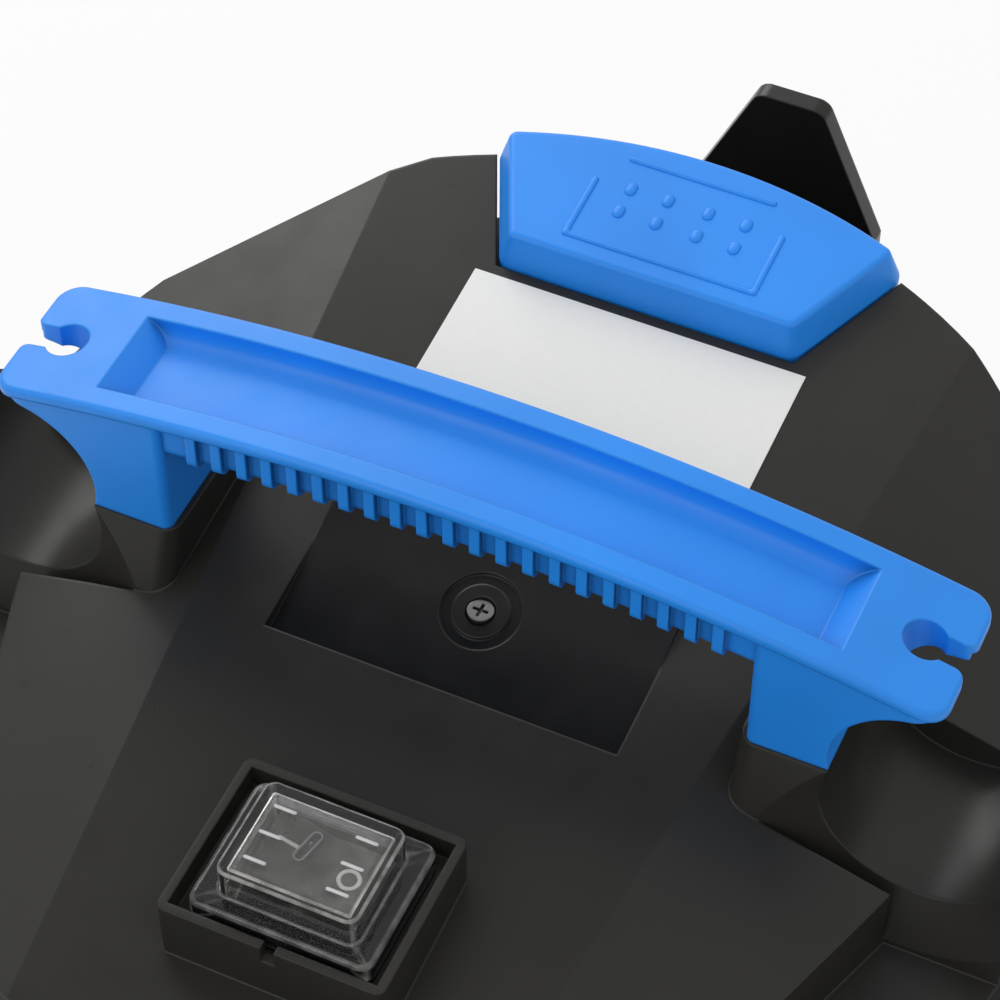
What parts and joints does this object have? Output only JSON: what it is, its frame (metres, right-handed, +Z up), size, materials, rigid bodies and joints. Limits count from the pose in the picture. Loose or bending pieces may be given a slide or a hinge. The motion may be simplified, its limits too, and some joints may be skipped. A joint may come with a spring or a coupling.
{
  "type": "shop vacuum",
  "caption": "Wet and dry shop vacuum: steel tank on swivel casters under a black motor head with a blue carry handle, covered switch, filter-clean push block and cord grooves.",
  "frame": {"origin": "on the floor, below the motor's axis", "axes": "+X to the right of the switch side, +Y to the back, +Z up"},
  "size_m": [0.366, 0.376, 0.5051],
  "materials": {
    "drum_steel": "brushed round the drum",
    "black_plastic": "fine moulded grain",
    "blue_plastic": "satin moulded",
    "seal_rubber": "soft",
    "pin_steel": "zinc plated",
    "screw_steel": "dark zinc",
    "switch_black": "gloss",
    "clear_cap": "clear soft plastic",
    "label_white": "paper",
    "motor_steel": "pressed",
    "core_iron": "laminated",
    "carbon": "pressed carbon",
    "copper": "bare",
    "fan_alloy": "pressed",
    "float_plastic": "smooth",
    "filter_paper": "pleated paper",
    "caster_steel": "zinc plated",
    "wheel_plastic": "smooth"
  },
  "bodies": {
    "body": {"tank": "drum_steel", "tank_bottom": "drum_steel", "base_tray": "black_plastic", "inlet_seal": "seal_rubber", "inlet_flange": "black_plastic", "inlet_deflector": "black_plastic", "head_seal": "seal_rubber", "head_base": "black_plastic", "latch_pins": "pin_steel", "motor_cover": "black_plastic", "handle": "blue_plastic", "handle_screws": "pin_steel", "centre_screw": "screw_steel", "cover_screws": "pin_steel", "switch_body": "switch_black", "switch_cover": "clear_cap", "rating_label": "label_white", "valve_seal": "seal_rubber", "button_spring": "pin_steel", "rear_hook": "black_plastic", "socket_outlet": "black_plastic", "lid_pin": "pin_steel", "cord_gland": "black_plastic", "exhaust_grilles": "black_plastic", "fan_can": "motor_steel", "motor_seal": "seal_rubber", "motor_bracket": "motor_steel", "motor_mount": "seal_rubber", "lower_bearing": "pin_steel", "upper_bearing": "pin_steel", "stator": "core_iron", "carbon_brushes": "carbon", "brush_holders": "copper", "filter_cage": "black_plastic", "filter_cartridge": "filter_paper", "filter_cap": "black_plastic", "terminal_block": "label_white"},
    "rotor": {"rotor_shaft": "pin_steel", "armature": "core_iron", "commutator": "copper", "impeller": "fan_alloy"},
    "rocker": {"switch_rocker": "switch_black"},
    "push_block": {"clean_button": "blue_plastic", "clean_valve": "black_plastic"},
    "right_latch": {"latch_right": "blue_plastic"},
    "left_latch": {"latch_left": "blue_plastic"},
    "lid": {"socket_lid": "blue_plastic"},
    "float": {"float_ball": "float_plastic"},
    "caster_front_right": {"caster_fork_front_right": "caster_steel", "caster_axle_front_right": "pin_steel"},
    "wheel_front_right": {"caster_wheel_front_right": "wheel_plastic"},
    "caster_front_left": {"caster_fork_front_left": "caster_steel", "caster_axle_front_left": "pin_steel"},
    "wheel_front_left": {"caster_wheel_front_left": "wheel_plastic"},
    "caster_rear_right": {"caster_fork_rear_right": "caster_steel", "caster_axle_rear_right": "pin_steel"},
    "wheel_rear_right": {"caster_wheel_rear_right": "wheel_plastic"},
    "caster_rear_left": {"caster_fork_rear_left": "caster_steel", "caster_axle_rear_left": "pin_steel"},
    "wheel_rear_left": {"caster_wheel_rear_left": "wheel_plastic"}
  },
  "joints": [
    {"name": "rotor_spin", "type": "hinge", "parent": "body", "child": "rotor", "pos_m": [0, 0, 0.38], "axis": [0, 0, 1], "continuous": true},
    {"name": "switch_rock", "type": "hinge", "parent": "body", "child": "rocker", "pos_m": [0, -0.079, 0.455], "axis": [0, -1, 0], "range_deg": [0, 18]},
    {"name": "clean_push", "type": "slide", "parent": "body", "child": "push_block", "axis": [0, 0, -1], "range_m": [0, 0.006], "stiffness_N_per_m": 800, "springref_m": -0.004, "deforming": ["button_spring"]},
    {"name": "latch_right_swing", "type": "hinge", "parent": "body", "child": "right_latch", "pos_m": [0.1785, 0, 0.364], "axis": [0, -1, 0], "range_deg": [0, 75]},
    {"name": "latch_left_swing", "type": "hinge", "parent": "body", "child": "left_latch", "pos_m": [-0.1785, 0, 0.364], "axis": [0, 1, 0], "range_deg": [0, 75]},
    {"name": "lid_swing", "type": "hinge", "parent": "body", "child": "lid", "pos_m": [0, -0.1378, 0.422], "axis": [-1, 0, 0], "range_deg": [0, 100]},
    {"name": "float_rise", "type": "slide", "parent": "body", "child": "float", "axis": [0, 0, 1], "range_m": [0, 0.045]},
    {"name": "swivel_front_right", "type": "hinge", "parent": "body", "child": "caster_front_right", "pos_m": [0.09051, -0.09051, 0.046], "axis": [0, 0, 1], "continuous": true},
    {"name": "roll_front_right", "type": "hinge", "parent": "caster_front_right", "child": "wheel_front_right", "pos_m": [0.0997, -0.0997, 0.02], "axis": [0.7071, 0.7071, 0], "continuous": true},
    {"name": "swivel_front_left", "type": "hinge", "parent": "body", "child": "caster_front_left", "pos_m": [-0.09051, -0.09051, 0.046], "axis": [0, 0, 1], "continuous": true},
    {"name": "roll_front_left", "type": "hinge", "parent": "caster_front_left", "child": "wheel_front_left", "pos_m": [-0.0997, -0.0997, 0.02], "axis": [0.7071, -0.7071, 0], "continuous": true},
    {"name": "swivel_rear_right", "type": "hinge", "parent": "body", "child": "caster_rear_right", "pos_m": [0.09051, 0.09051, 0.046], "axis": [0, 0, 1], "continuous": true},
    {"name": "roll_rear_right", "type": "hinge", "parent": "caster_rear_right", "child": "wheel_rear_right", "pos_m": [0.0997, 0.0997, 0.02], "axis": [-0.7071, 0.7071, 0], "continuous": true},
    {"name": "swivel_rear_left", "type": "hinge", "parent": "body", "child": "caster_rear_left", "pos_m": [-0.09051, 0.09051, 0.046], "axis": [0, 0, 1], "continuous": true},
    {"name": "roll_rear_left", "type": "hinge", "parent": "caster_rear_left", "child": "wheel_rear_left", "pos_m": [-0.0997, 0.0997, 0.02], "axis": [-0.7071, -0.7071, 0], "continuous": true}
  ]
}
